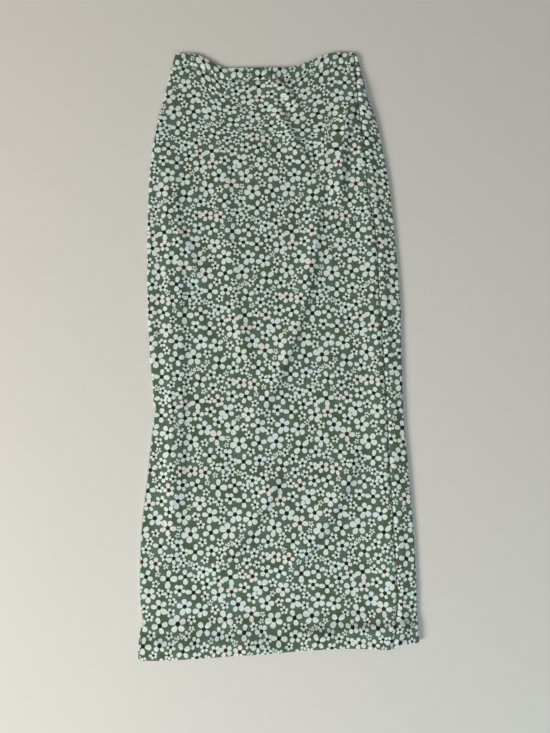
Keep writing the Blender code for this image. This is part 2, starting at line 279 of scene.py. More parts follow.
def topHeight(x, y):
    rest = restingHeight(x, y)
    fromLeft = np.maximum(x - leftEdge(y) - layout["leftRoll"] / 2, 0.0)
    fromRight = np.maximum(rightEdge(y) - layout["rightRoll"] / 2 - x, 0.0)
    height = rest + (layout["leftRoll"] - rest) * slitClosed(y) * bell(fromLeft, layout["leftReach"])
    height += (layout["rightRoll"] - rest) * bell(fromRight, layout["rightReach"])
    fromRidge = x - topSeam(y) - layout["sideRidgeOut"]
    belowWaist = ease((panelTopY - y) / layout["waistRun"])
    height += layout["sideRidge"] * belowWaist * ridgeProfile(fromRidge, layout["sideRidgeWidth"])
    puffFrom = layout["hemY"] + curveThrough([row[:2] for row in layout["hemPuff"]], x)
    puff = curveThrough([row[::2] for row in layout["hemPuff"]], x)
    height += puff * ease((puffFrom - y) / layout["hemPuffRun"])
    settled = settledY(x, y)
    for crease in creases.values():
        height += creaseHeight(x, settled, crease)
    return height


# Small relief of the sewn and worn cloth, on top of the big creases
relief = {
    "fineCreases": (
        ((0.093, 0.352), (0.090, 0.322), (0.087, 0.292), 0.0008, 0.0032),
        ((0.107, 0.350), (0.106, 0.318), (0.103, 0.288), 0.0008, 0.0034),
        ((0.074, 0.188), (0.066, 0.120), (0.044, 0.050), 0.0009, 0.0050),
        ((-0.157, -0.136), (-0.158, -0.170), (-0.156, -0.206), 0.0010, 0.0040),
        ((-0.012, -0.060), (-0.022, -0.095), (-0.050, -0.140), 0.0008, 0.0070),
        ((0.120, -0.020), (0.104, -0.070), (0.070, -0.118), 0.0008, 0.0100),
        ((-0.060, -0.170), (-0.082, -0.215), (-0.120, -0.260), 0.0008, 0.0090),
        ((0.150, 0.130), (0.140, 0.060), (0.146, -0.020), 0.0008, 0.0090),
        ((-0.100, 0.300), (-0.108, 0.200), (-0.104, 0.090), 0.0008, 0.0100),
        ((-0.103, 0.052), (-0.098, 0.020), (-0.092, -0.008), 0.0012, 0.0060),
        ((-0.151, 0.330), (-0.148, -0.010), (-0.147, -0.370), 0.0020, 0.0045),
        # ripples of the turned hem
        ((-0.062, -0.436), (-0.024, -0.4395), (0.012, -0.438), 0.0026, 0.0054),
        ((0.026, -0.4225), (0.052, -0.4235), (0.082, -0.424), 0.0024, 0.0048),
        ((0.094, -0.420), (0.146, -0.416), (0.200, -0.412), 0.0026, 0.0062),
        ((-0.186, -0.431), (-0.150, -0.432), (-0.112, -0.435), 0.0012, 0.0050),
        ((0.072, -0.394), (0.088, -0.385), (0.106, -0.379), 0.0016, 0.0050),
        ((-0.005, -0.412), (0.014, -0.416), (0.034, -0.4155), 0.0010, 0.0045),
    ),
    "swell": 0.00022,
    "hemStitchUp": 0.037,
    "casingCrown": 0.0007,
    # along each line of sewing: depth and width of its groove
    "grooves": {
        "side seam": (0.0015, 0.0030),
        "casing": (0.0010, 0.0036),
        "hem": (0.0011, 0.0034),
        "dart": (0.0009, 0.0018),
    },
    # height, spacing and phase of the puckers, and how far they reach beside the line
    "puckers": {
        "side seam": (0.00030, 0.0105, 0.4, 0.011),
        "casing": (0.00034, 0.0088, 1.1, 0.030),
        "hem": (0.00042, 0.017, 2.0, 0.012),
    },
    "darts": (
        ((-0.058, 0.391), (-0.080, 0.369)),
        ((0.026, 0.407), (0.051, 0.375)),
    ),
}


def reliefHeight(x, y):
    settled = settledY(x, y)
    height = np.zeros(np.broadcast(x, y).shape)
    for crease in relief["fineCreases"]:
        height += creaseHeight(x, settled, crease)
    # the faint swell of cloth that lies loose, from waves of unlike lengths
    swell = np.sin(x * 61 + 1.5 * np.sin(y * 17)) * np.sin(y * 43 + 1.2 * np.sin(x * 23) + 0.7)
    height += relief["swell"] * (swell + 0.6 * np.sin(x * 127 + y * 71))
    upBand = np.clip((y - panelTopY) / layout["bandDepth"], 0.0, 1.0)
    height += relief["casingCrown"] * np.sin(math.pi * upBand)

    # distance from each line of sewing, distance from the cloth it gathers, and the way along it
    fromSeam = x - topSeam(y)
    fromCasing = y - panelTopY
    fromHem = y - (layout["hemY"] + relief["hemStitchUp"])
    sewnLines = {
        "side seam": (fromSeam, fromSeam, y),
        "casing": (fromCasing, np.minimum(fromCasing, 0.0), x),
        "hem": (fromHem, fromHem, x),
    }
    for line, (fromGroove, fromGathers, along) in sewnLines.items():
        size, every, phase, reach = relief["puckers"][line]
        height += size * unevenWave(along, every, phase) * fading(fromGathers, reach)
        depth, width = relief["grooves"][line]
        height -= depth * bell(fromGroove, width)
    depth, width = relief["grooves"]["dart"]
    for start, end in relief["darts"]:
        height -= depth * bell(nearLine(x, settled, start, end)[1], width)
    return height


def surfaceHeight(x, y):
    return topHeight(x, y) + reliefHeight(x, y)


def blendRows(low, high, share):
    return low + (high - low) * share


def rolledArc(turn, radius, low, firstAngle, columns):
    # half a turn of cloth round a folded edge
    angle = firstAngle + math.pi * shares(columns)
    return turn + radius * np.cos(angle), low + radius + radius * np.sin(angle)


def frontGrid(rows, wall, topColumns, arcColumns, underColumns):
    # middle of the front's wall: from the seam on top to the left edge, and under above the slit
    y = np.asarray(rows)[:, None]
    inset = wall / 2
    left = leftEdge(y)
    start = topSeam(y) - layout["seamGap"] / 2 - inset
    strip = left + layout["edgeStrip"]
    top = start + (strip - start) * shares(topColumns)
    topZ = surfaceHeight(top, y)

    # beside the slit the cloth just ends
    edgeColumns = arcColumns + underColumns + 1
    openX = strip + (left + layout["slitShow"] + inset - strip) * shares(edgeColumns)[:, 1:]
    openZ = surfaceHeight(openX, y)

    # above the slit it rolls under
    radius = (topHeight(left + layout["leftRoll"] / 2, y) - inset) / 2
    turn = left + radius + inset
    arcX, arcZ = rolledArc(turn, radius, inset, math.pi / 2, arcColumns)
    underEnd = np.maximum(left + frontUnder(y) - inset, turn + layout["seamGap"])
    underX = turn + (underEnd - turn) * shares(underColumns)[:, 1:]
    rolledX = np.concatenate([arcX, underX], axis=1)
    rolledZ = np.concatenate([arcZ, np.full_like(underX, inset)], axis=1)

    share = np.clip((y - layout["slitTopY"]) / layout["slitRun"], 0.0, 1.0)
    x = np.concatenate([top, blendRows(openX, rolledX, share)], axis=1)
    z = np.concatenate([topZ, blendRows(openZ, rolledZ, share)], axis=1)
    return np.stack([x, settledY(x, y + 0 * x), z], axis=2)


def backGrid(rows, wall, flatColumns, arcColumns, wrapColumns):
    # middle of the back's wall: flat on the floor, round the right edge, then on top to the seam
    y = np.asarray(rows)[:, None]
    inset = wall / 2
    left = leftEdge(y)
    tucked = np.maximum(left + frontUnder(y), left + layout["backClear"]) + layout["seamGap"]
    slitShare = np.clip((layout["slitTopY"] - y) / layout["slitRun"], 0.0, 1.0)
    start = blendRows(tucked, left, slitShare) + inset
    right = rightEdge(y)
    radius = (topHeight(right - layout["rightRoll"] / 2, y) - inset) / 2
    turn = right - radius - inset
    flat = start + (turn - start) * shares(flatColumns)[:, :-1]
    arcX, arcZ = rolledArc(turn, radius, inset, -math.pi / 2, arcColumns)
    end = topSeam(y) + layout["seamGap"] / 2 + inset
    share = shares(wrapColumns)[:, 1:]
    wrap = turn + (end - turn) * share
    # the small relief sets in over the first third, so that it meets the roll without a step
    wrapZ = topHeight(wrap, y) + reliefHeight(wrap, y) * ease(3 * share)
    x = np.concatenate([flat, arcX, wrap], axis=1)
    z = np.concatenate([np.full_like(flat, inset), arcZ, wrapZ], axis=1)
    return np.stack([x, settledY(x, y + 0 * x), z], axis=2)


def clothCoordinates(grid, rows, side, shift, seamColumn=None):
    # where each point lies on the flat cloth: across from the line x = 0, and up the skirt.
    # The third value is 1 on the side seam and masks the painted shade there.
    steps = np.linalg.norm(np.diff(grid, axis=1), axis=2)
    along = np.concatenate([np.zeros((len(grid), 1)), np.cumsum(steps, axis=1)], axis=1)
    across = np.empty_like(along)
    for r in range(len(grid)):
        first = int(np.argmin(np.abs(grid[r, :, 0])))
        across[r] = (along[r] - along[r, first]) * side + grid[r, first, 0]
    up = np.broadcast_to(np.asarray(rows)[:, None], across.shape)
    seamShadeMask = np.zeros(across.shape)
    if seamColumn is not None:
        seamShadeMask[:, seamColumn] = 1.0
    return np.stack([across + shift[0], up + shift[1], seamShadeMask], axis=2)


# Lines where the print jumps or crowds: start, end, width of cloth hidden there, how far it reaches
tucks = {
    "left dart": ((-0.056, 0.393), (-0.082, 0.367), 0.0060, 0.020),
    "right dart": ((0.022, 0.411), (0.055, 0.371), 0.0080, 0.024),
    "hip": ((0.128, 0.372), (0.110, 0.262), 0.0070, 0.016),
}
crowding = {"start": (0.100, 0.372), "end": (0.088, 0.278), "squeeze": 0.85, "width": 0.0130}


def printSlip(x, y):
    slip = np.zeros(np.shape(x))
    for start, end, hidden, reach in tucks.values():
        share, distance, side = nearLine(x, y, start, end)
        slip += hidden / 2 * np.sin(math.pi * share) * side * fading(distance, reach)
    share, distance, side = nearLine(x, y, crowding["start"], crowding["end"])
    squeeze = crowding["squeeze"] * np.sin(math.pi * share)
    return slip + squeeze * side * distance * bell(distance, crowding["width"])


def gridNormals(grid):
    across = np.gradient(grid, axis=1)
    along = np.gradient(grid, axis=0)
    normal = np.cross(across, along)
    return normal / np.maximum(np.linalg.norm(normal, axis=2, keepdims=True), 1e-12)


# The daisies of one repeat of the print. The layout is scattered, then pushed apart.
daisyPrint = {
    "repeat": (0.193, 0.1275),
    "drop": 0.074,  # each repeat up the cloth starts this far across
    "seed": 7,
    # kind, how many, smallest and largest radius, where they gather: 1 in the rows of large ones
    "kinds": (
        ("five petals", 12, 0.0108, 0.0128, 1),
        ("four petals", 10, 0.0106, 0.0124, 1),
        ("middling", 19, 0.0079, 0.0096, 0),
        ("small", 33, 0.0057, 0.0069, -1),
        ("tiny", 13, 0.0042, 0.0049, -1),
    ),
    "gathering": 0.0010,
    "tries": 60,
    "enoughRoom": 0.0015,
    "settling": 14,
    "settlingGrid": (130, 86),
    "lanes": 0.95,  # daisies stand closer sideways than up the cloth
    # size of a daisy and half of the drawn square in its cell, and how far past its rim it may matter
    "chartScale": 0.22,
    "chartHalf": 2.2,
    "reach": 0.0030,
}


def wrapped(across, up, plan):
    # shortest way to the same place in any repeat
    width, height = plan["repeat"]
    turns = np.floor(up / height + 0.5)
    return (across - turns * plan["drop"] + width / 2) % width - width / 2, up - turns * height


def laneDistance(offsets, plan):
    return np.hypot(offsets[0] / plan["lanes"], offsets[1] * plan["lanes"])


def scatterDaisies(plan):
    rng = random.Random(plan["seed"])
    width, height = plan["repeat"]
    placed = []
    for kind, (_, count, low, high, gather) in enumerate(plan["kinds"]):
        for _ in range(count):
            radius = rng.uniform(low, high)
            best, bestScore = None, -math.inf
            for _ in range(plan["tries"]):
                x, y = rng.random() * width, rng.random() * height
                row = math.cos(2 * math.pi * y / height)
                room = 1.0
                if placed:
                    others = np.array(placed)
                    gap = laneDistance(wrapped(x - others[:, 0], y - others[:, 1], plan), plan)
                    room = min(room, (gap - radius - others[:, 2]).min())
                score = min(room, plan["enoughRoom"]) + plan["gathering"] * gather * row
                if score > bestScore:
                    best, bestScore = (x, y), score
            placed.append([*best, radius, kind, rng.random() * 2 * math.pi])
    placed = np.array(placed)

    # each daisy moves to the middle of the room it has, so that the ground shows evenly
    columns, rows = plan["settlingGrid"]
    acrossSteps = (np.arange(columns) + 0.5) / columns * width
    upSteps = (np.arange(rows) + 0.5) / rows * height
    across, up = np.meshgrid(acrossSteps, upSteps)
    for _ in range(plan["settling"]):
        offX, offY = wrapped(across[..., None] - placed[:, 0], up[..., None] - placed[:, 1], plan)
        owner = np.argmin(laneDistance((offX, offY), plan) - placed[:, 2], axis=2)
        for n in range(len(placed)):
            mine = owner == n
            if mine.any():
                placed[n, 0] += offX[mine, n].mean()
                placed[n, 1] += offY[mine, n].mean()
    return placed


daisies = scatterDaisies(daisyPrint)
print("print laid out:", len(daisies), "daisies in a repeat")


def daisyCharts(corners):
    # For each face, three maps onto the nearest daisies' own cells. Cell (n, kind) holds daisy n.
    scale, half = daisyPrint["chartScale"], daisyPrint["chartHalf"]
    middle = corners.mean(axis=1)
    count = len(corners)
    gap = np.empty((count, len(daisies)), np.float32)
    for n, (x, y, radius, _, _) in enumerate(daisies):
        gap[:, n] = np.hypot(*wrapped(middle[:, 0] - x, middle[:, 1] - y, daisyPrint)) - radius
    nearest = np.argsort(gap, axis=1)[:, :3]
    maps = []
    for k in range(3):
        chosen = daisies[nearest[:, k]]
        x, y, radius, kind, turn = chosen.T
        offX, offY = wrapped(middle[:, 0] - x, middle[:, 1] - y, daisyPrint)
        localX = (offX[:, None] + corners[:, :, 0] - middle[:, :1]) / radius[:, None]
        localY = (offY[:, None] + corners[:, :, 1] - middle[:, 1:2]) / radius[:, None]
        c, s = np.cos(turn)[:, None], np.sin(turn)[:, None]
        u, v = c * localX + s * localY, -s * localX + c * localY
        far = gap[np.arange(count), nearest[:, k]] > daisyPrint["reach"]
        u[far], v[far] = half, half
        cellU = nearest[:, k][:, None] + 0.5 + scale * np.clip(u, -half, half)
        cellV = kind[:, None] + 0.5 + scale * np.clip(v, -half, half)
        maps.append(np.stack([cellU, cellV], axis=2))
    return maps


def addObject(name, data):
    added = bpy.data.objects.new(name, data)
    scene.collection.objects.link(added)
    return added


def roundEdges(sheet, wall, rings):
    # sheet holds middle points, normals, cloth coordinates and half the thickness. Each of its
    # borders gets more rows, in which the two sides come together in a half round.
    for axis in (0, 1):
        sheet = [np.swapaxes(part, 0, axis) for part in sheet]
        for end, inner in ((0, 1), (-1, -2)):
            grid, normals, coordinates, half = sheet
            out = grid[end] - grid[inner]
            out = out / np.linalg.norm(out, axis=1, keepdims=True)
            slide = (coordinates[end] - coordinates[inner]) * (1.0, 1.0, 0.0)
            slide = slide / np.maximum(np.linalg.norm(slide, axis=1, keepdims=True), 1e-12)
            for ring in range(1, rings + 1):
                angle = math.pi / 2 * ring / rings
                reach = wall / 2 * math.sin(angle)
                thinner = half[end] * math.cos(angle) * (ring < rings)
                row = (grid[end] + out * reach, normals[end], coordinates[end] + slide * reach, thinner)
                pairs = [(part, new[None]) for part, new in zip(sheet, row)]
                sheet = [np.concatenate(pair if end else pair[::-1]) for pair in pairs]
        sheet = [np.swapaxes(part, 0, axis) for part in sheet]
    return sheet


def roundedWall(name, grid, coordinates, wall, materials, rings=3):
    # A closed wall of cloth round a grid of middle points, with rounded edges.
    # Its first material is on the side of the grid's normals, its second on the other side.
    sheet = [grid, gridNormals(grid), coordinates, np.full(grid.shape[:2], wall / 2)]
    grid, normals, coordinates, half = roundEdges(sheet, wall, rings)
    rows, columns = half.shape
    outer = grid + normals * half[:, :, None]
    inner = grid - normals * half[:, :, None]
    outerIndex = np.arange(rows * columns).reshape(rows, columns)
    innerIndex = outerIndex.copy()
    inside = (rows - 2) * (columns - 2)
    innerIndex[1:-1, 1:-1] = rows * columns + np.arange(inside).reshape(rows - 2, columns - 2)
    points = np.concatenate([outer.reshape(-1, 3), inner[1:-1, 1:-1].reshape(-1, 3)])

    def quads(index):
        corners = [index[:-1, :-1], index[:-1, 1:], index[1:, 1:], index[1:, :-1]]
        return np.stack(corners, axis=2).reshape(-1, 4)

    outerFaces, innerFaces = quads(outerIndex), quads(innerIndex)[:, ::-1]
    flat = coordinates[:, :, :2].reshape(-1, 2)
    seamShadeMask = np.concatenate([coordinates[:, :, 2].ravel(), coordinates[1:-1, 1:-1, 2].ravel()])
    faceCoordinates = np.concatenate([flat[outerFaces], flat[outerFaces[:, ::-1]]])
    faces = np.concatenate([outerFaces, innerFaces])

    mesh = bpy.data.meshes.new(name)
    mesh.vertices.add(len(points))
    mesh.vertices.foreach_set("co", points.astype(np.float32).ravel())
    mesh.loops.add(faces.size)
    mesh.loops.foreach_set("vertex_index", faces.astype(np.int32).ravel())
    mesh.polygons.add(len(faces))
    mesh.polygons.foreach_set("loop_start", np.arange(0, faces.size, 4, dtype=np.int32))
    mesh.polygons.foreach_set("material_index", (np.arange(len(faces)) >= len(outerFaces)).astype(np.int32))
    mesh.update(calc_edges=True)
    mesh.polygons.foreach_set("use_smooth", np.ones(len(faces), bool))
    charts = daisyCharts(faceCoordinates)
    for mapName, values in zip(("cloth", "daisyA", "daisyB", "daisyC"), (faceCoordinates, *charts)):
        layerData = mesh.uv_layers.new(name=mapName)
        layerData.data.foreach_set("uv", values.astype(np.float32).ravel())
    # mask of the painted shade along the side seam
    mesh.attributes.new("seamShadeMask", "FLOAT", "POINT").data.foreach_set("value", seamShadeMask.astype(np.float32))
    mesh.validate()
    for material in materials:
        mesh.materials.append(material)
    print("made", name, len(faces) * 2, "triangles")
    return addObject(name, mesh)


# Shader helpers
def addNode(tree, kind, values=None, **settings):
    node = tree.nodes.new(kind)
    for key, value in settings.items():
        setattr(node, key, value)
    for key, value in (values or {}).items():
        socket = node.inputs[key]
        if isinstance(value, bpy.types.NodeSocket):
            tree.links.new(value, socket)
        else:
            socket.default_value = value
    return node


def mathsIn(tree):
    # the Math nodes of one tree, written as calls
    def maths(operation, a, b=0.0, c=0.0):
        return addNode(tree, "ShaderNodeMath", {0: a, 1: b, 2: c}, operation=operation).outputs[0]

    return maths


def mixColours(tree, share, a, b, blend="MIX"):
    node = addNode(tree, "ShaderNodeMix", {0: share, 6: a, 7: b}, data_type="RGBA", blend_type=blend)
    return node.outputs[2]


def noise(tree, place, scale, detail):
    values = {"Vector": place, "Scale": scale, "Detail": detail}
    return addNode(tree, "ShaderNodeTexNoise", values).outputs["Fac"]


def softEdge(tree, value, outside, inside):
    # 0 where the value is past outside, 1 where it is within inside
    limits = {"Value": value, "From Min": outside, "From Max": inside}
    return addNode(tree, "ShaderNodeMapRange", limits, interpolation_type="SMOOTHSTEP").outputs["Result"]


def makeGroup(name, inputs, outputs):
    group = bpy.data.node_groups.new(name, "ShaderNodeTree")
    for label, kind, value in inputs:
        socket = group.interface.new_socket(label, in_out="INPUT", socket_type=kind)
        if value is not None:
            socket.default_value = value
    for label, kind in outputs:
        group.interface.new_socket(label, in_out="OUTPUT", socket_type=kind)
    return group, group.nodes.new("NodeGroupInput"), group.nodes.new("NodeGroupOutput")


# Sizes are shares of the daisy's radius
daisyShape = {
    "petalMiddle": 0.585,
    "petalLength": 0.428,
    "petalWidth": 0.294,
    "fourWidth": 0.284,
    "tinyWidth": 0.258,
    "eggNarrow": 0.52,
    "eggGrowth": 0.82,
    "lengthVary": 0.12,
    "widthVary": 0.14,
    "turnVary": 0.17,
    "eyeLarge": 0.278,
    "eyeSmall": 0.335,
    "eyeTiny": 0.230,
    "softness": 0.10,
    "eyeSoftness": 0.12,
}


def makeDaisyGroup():
    # one daisy, drawn in its own cell of the chart
    group, given, result = makeGroup(
        "printedDaisy",
        [("Chart", "NodeSocketVector", None), ("Chart Scale", "NodeSocketFloat", daisyPrint["chartScale"])],
        [(label, "NodeSocketFloat") for label in ("Petals", "Eye", "Pick", "Tiny")],
    )
    maths = mathsIn(group)

    def vectors(operation, values):
        return addNode(group, "ShaderNodeVectorMath", values, operation=operation).outputs[0]

    chart = given.outputs["Chart"]
    cell = vectors("FLOOR", {0: chart})
    centred = vectors("SUBTRACT", {0: vectors("FRACTION", {0: chart}), 1: (0.5, 0.5, 0.0)})
    unscale = maths("DIVIDE", 1.0, given.outputs["Chart Scale"])
    local = addNode(group, "ShaderNodeSeparateXYZ", {0: vectors("SCALE", {0: centred, "Scale": unscale})})
    x, y = local.outputs["X"], local.outputs["Y"]
    number, kind = addNode(group, "ShaderNodeSeparateXYZ", {0: cell}).outputs[:2]
    # kinds are numbered from 0, as daisyPrint lists them
    isFour = maths("COMPARE", kind, 1.0, 0.1)
    isTiny = maths("GREATER_THAN", kind, 3.5)
    isLarge = maths("LESS_THAN", kind, 1.5)
    petals = maths("SUBTRACT", 5.0, isFour)

    def sumOfSquares(a, b):
        return maths("ADD", maths("MULTIPLY", a, a), maths("MULTIPLY", b, b))

    def forKinds(usual, *others):
        # a size that is another for some kinds
        size = daisyShape[usual]
        for isKind, other in others:
            size = maths("MULTIPLY_ADD", isKind, daisyShape[other] - daisyShape[usual], size)
        return size

    def around(value, spread, middle=1.0):
        # middle plus or minus spread
        return maths("MULTIPLY_ADD", value, 2 * spread, middle - spread)

    # each petal differs a little
    distance = maths("SQRT", sumOfSquares(x, y))
    turns = maths("DIVIDE", maths("ARCTAN2", y, x), 2 * math.pi)
    sectors = maths("MULTIPLY", maths("ADD", turns, 1.0), petals)
    sector = maths("FLOORED_MODULO", maths("FLOOR", sectors), petals)
    seed = addNode(group, "ShaderNodeCombineXYZ", {"X": number, "Y": kind, "Z": sector}).outputs[0]
    chance = addNode(group, "ShaderNodeTexWhiteNoise", {"Vector": seed}, noise_dimensions="3D")
    vary = addNode(group, "ShaderNodeSeparateColor", {0: chance.outputs["Color"]})
    lengthen = around(vary.outputs[0], daisyShape["lengthVary"])
    widen = around(vary.outputs[1], daisyShape["widthVary"])
    swing = around(vary.outputs[2], daisyShape["turnVary"], 0.0)

    # the petal of this sector is an egg that is narrow at the eye
    inSector = maths("MULTIPLY", maths("SUBTRACT", maths("FRACT", sectors), 0.5), 2 * math.pi)
    angle = maths("ADD", maths("DIVIDE", inSector, petals), swing)
    along = maths("MULTIPLY", distance, maths("COSINE", angle))
    across = maths("MULTIPLY", distance, maths("SINE", angle))
    middle = maths("MULTIPLY", lengthen, daisyShape["petalMiddle"])
    reach = maths("MULTIPLY", lengthen, daisyShape["petalLength"])
    width = forKinds("petalWidth", (isFour, "fourWidth"), (isTiny, "tinyWidth"))
    egg = maths("MULTIPLY_ADD", along, daisyShape["eggGrowth"], daisyShape["eggNarrow"])
    breadth = maths("MULTIPLY", maths("MULTIPLY", width, widen), egg)
    ratioAlong = maths("DIVIDE", maths("SUBTRACT", along, middle), reach)
    oval = sumOfSquares(ratioAlong, maths("DIVIDE", across, breadth))
    soft, eyeSoft = daisyShape["softness"], daisyShape["eyeSoftness"]
    petal = softEdge(group, oval, 1.0 + soft, 1.0 - soft)

    eyeSize = forKinds("eyeSmall", (isLarge, "eyeLarge"), (isTiny, "eyeTiny"))
    eye = softEdge(group, maths("DIVIDE", distance, eyeSize), 1.0 + eyeSoft, 1.0 - eyeSoft)
    pick = addNode(group, "ShaderNodeTexWhiteNoise", {"Vector": cell}, noise_dimensions="3D").outputs[0]
    for label, value in (("Petals", petal), ("Eye", eye), ("Pick", pick), ("Tiny", isTiny)):
        group.links.new(value, result.inputs[label])
    return group


inks = {
    "ground": (0.071, 0.099, 0.049, 1.0),
    "groundCool": (0.107, 0.156, 0.115, 1.0),
    "petalCool": (0.680, 0.770, 0.735, 1.0),
    "petalWarm": (0.745, 0.745, 0.690, 1.0),
    "eyeDark": (0.0035, 0.0070, 0.0065, 1.0),
    "eyeMaroon": (0.045, 0.007, 0.006, 1.0),
    "eyeBrown": (0.022, 0.012, 0.010, 1.0),
    "eyeTiny": (0.030, 0.045, 0.032, 1.0),
    # of each daisy's random pick
    "maroonAbove": 0.77,
    "brownAbove": 0.62,
    "warmth": 0.85,
    "mottleScale": 38.0,
    "mottleLow": 0.34,
    "mottleHigh": 0.66,
}


def makePrintGroup(daisyGroup):
    # the whole print: three nearest daisies over the green ground
    group, given, result = makeGroup(
        "daisyPrint",
        [(label, "NodeSocketVector", None) for label in ("Chart A", "Chart B", "Chart C", "Cloth")],
        [("Color", "NodeSocketColor"), ("Petals", "NodeSocketFloat")],
    )
    maths = mathsIn(group)
    patches = noise(group, given.outputs["Cloth"], inks["mottleScale"], 2.0)
    limits = {"Value": patches, "From Min": inks["mottleLow"], "From Max": inks["mottleHigh"]}
    mottle = addNode(group, "ShaderNodeMapRange", limits).outputs["Result"]
    colour = mixColours(group, mottle, inks["ground"], inks["groundCool"])
    cover = None
    for label in ("Chart C", "Chart B", "Chart A"):
        daisy = addNode(group, "ShaderNodeGroup", {}, node_tree=daisyGroup)
        group.links.new(given.outputs[label], daisy.inputs["Chart"])
        petals, eye, pick, tiny = (daisy.outputs[part] for part in ("Petals", "Eye", "Pick", "Tiny"))
        brown = maths("GREATER_THAN", pick, inks["brownAbove"])
        maroon = maths("GREATER_THAN", pick, inks["maroonAbove"])
        warm = maths("MAXIMUM", maroon, maths("MULTIPLY", pick, inks["warmth"]))
        petalColour = mixColours(group, warm, inks["petalCool"], inks["petalWarm"])
        eyeColour = inks["eyeDark"]
        for share, ink in ((brown, "eyeBrown"), (maroon, "eyeMaroon"), (tiny, "eyeTiny")):
            eyeColour = mixColours(group, share, eyeColour, inks[ink])
        colour = mixColours(group, petals, colour, petalColour)
        colour = mixColours(group, eye, colour, eyeColour)
        shown = maths("MAXIMUM", petals, eye)
        cover = shown if cover is None else maths("MAXIMUM", cover, shown)
    group.links.new(colour, result.inputs["Color"])
    group.links.new(cover, result.inputs["Petals"])
    return group


jersey = {
    "wale": 0.0011,
    "course": 0.0009,
    "waleHeight": 0.30,
    "courseHeight": 0.20,
    "grainHeight": 0.8,
    "grainScale": 420.0,
    "wander": 0.8,
    "wanderScale": 140.0,
    "bump": 0.35,
    "casingBump": 0.5,
    "bumpDepth": 0.0004,
    "grainShade": 0.22,
    # painted shade: the cloth's colour is darkened along the side seam, where it turns down into the seam
    "seamShade": 0.6,
    "seamPower": 2.5,
    "roughness": (0.74, 0.92),
    "sheen": 0.12,
    "sheenRoughness": 0.5,
    "specular": 0.25,
}


def makeKnitGroup():
    # fine wales and courses of jersey, uneven as a worn knit is
    spacings = [(label, "NodeSocketFloat", jersey[label.lower()]) for label in ("Wale", "Course")]
    group, given, result = makeGroup(
        "jerseyKnit",
        [("Cloth", "NodeSocketVector", None), *spacings],
        [("Height", "NodeSocketFloat"), ("Shade", "NodeSocketFloat")],
    )
    maths = mathsIn(group)
    place = given.outputs["Cloth"]
    split = addNode(group, "ShaderNodeSeparateXYZ", {0: place})
    wander = noise(group, place, jersey["wanderScale"], 1.0)
    drift = maths("MULTIPLY_ADD", wander, 2 * jersey["wander"], -jersey["wander"])

    def loops(direction, spacing):
        turns = maths("DIVIDE", split.outputs[direction], given.outputs[spacing])
        return maths("SINE", maths("ADD", maths("MULTIPLY", turns, 2 * math.pi), drift))

    courses = maths("MULTIPLY", loops("Y", "Course"), jersey["courseHeight"])
    knit = maths("MULTIPLY_ADD", loops("X", "Wale"), jersey["waleHeight"], courses)
    grain = noise(group, place, jersey["grainScale"], 3.0)
    height = maths("ADD", knit, maths("MULTIPLY", grain, jersey["grainHeight"]))
    group.links.new(height, result.inputs["Height"])
    group.links.new(grain, result.inputs["Shade"])
    return group


knitGroup = makeKnitGroup()
daisyGroup = makeDaisyGroup()
printGroup = makePrintGroup(daisyGroup)


def startMaterial(name):
    material = bpy.data.materials.new(name)
    material.use_nodes = True
    tree = material.node_tree
    return material, tree, tree.nodes["Principled BSDF"]


def setRoughness(tree, shader, mask, low, high):
    tree.links.new(mathsIn(tree)("MULTIPLY_ADD", mask, high - low, low), shader.inputs["Roughness"])


def startJersey(name, bumpStrength):
    # a material with the print's nodes, the knit's bump and the knit's shade
    material, tree, shader = startMaterial(name)
    maps = {"Cloth": "cloth", "Chart A": "daisyA", "Chart B": "daisyB", "Chart C": "daisyC"}
    for label, uvMap in maps.items():
        maps[label] = addNode(tree, "ShaderNodeUVMap", uv_map=uvMap).outputs[0]
    art = addNode(tree, "ShaderNodeGroup", maps, node_tree=printGroup)
    knit = addNode(tree, "ShaderNodeGroup", {"Cloth": maps["Cloth"]}, node_tree=knitGroup)
    heights = {"Strength": bumpStrength, "Distance": jersey["bumpDepth"], "Height": knit.outputs["Height"]}
    tree.links.new(addNode(tree, "ShaderNodeBump", heights).outputs["Normal"], shader.inputs["Normal"])
    return material, tree, shader, art, knit.outputs["Shade"]


def makePrintedJersey(name, bumpStrength):
    material, tree, shader, art, grain = startJersey(name, bumpStrength)
    maths = mathsIn(tree)
    seamShadeMask = addNode(tree, "ShaderNodeAttribute", attribute_name="seamShadeMask").outputs["Fac"]
    # painted shade: the colour is darkened along the side seam
    paintedSeamShade = maths("MULTIPLY_ADD", maths("POWER", seamShadeMask, jersey["seamPower"]), -jersey["seamShade"], 1.0)
    grainShade = maths("MULTIPLY_ADD", grain, jersey["grainShade"], 1.0 - jersey["grainShade"] / 2)
    fade = maths("MULTIPLY", grainShade, paintedSeamShade)
    shade = addNode(tree, "ShaderNodeCombineColor", {0: fade, 1: fade, 2: fade}).outputs[0]
    colour = mixColours(tree, 1.0, art.outputs["Color"], shade, "MULTIPLY")
    tree.links.new(colour, shader.inputs["Base Color"])
    setRoughness(tree, shader, grain, *jersey["roughness"])
    shader.inputs["Sheen Weight"].default_value = jersey["sheen"]
    shader.inputs["Sheen Roughness"].default_value = jersey["sheenRoughness"]
    shader.inputs["Specular IOR Level"].default_value = jersey["specular"]
    return material


unprinted = {
    "colour": (0.78, 0.79, 0.76, 1.0),
    "showThrough": (0.36, 0.42, 0.34, 1.0),
    "throughGround": 0.14,
    "throughDaisies": 0.04,
    "bump": 0.5,
    "roughness": (0.82, 0.96),
    "sheen": 0.15,
}


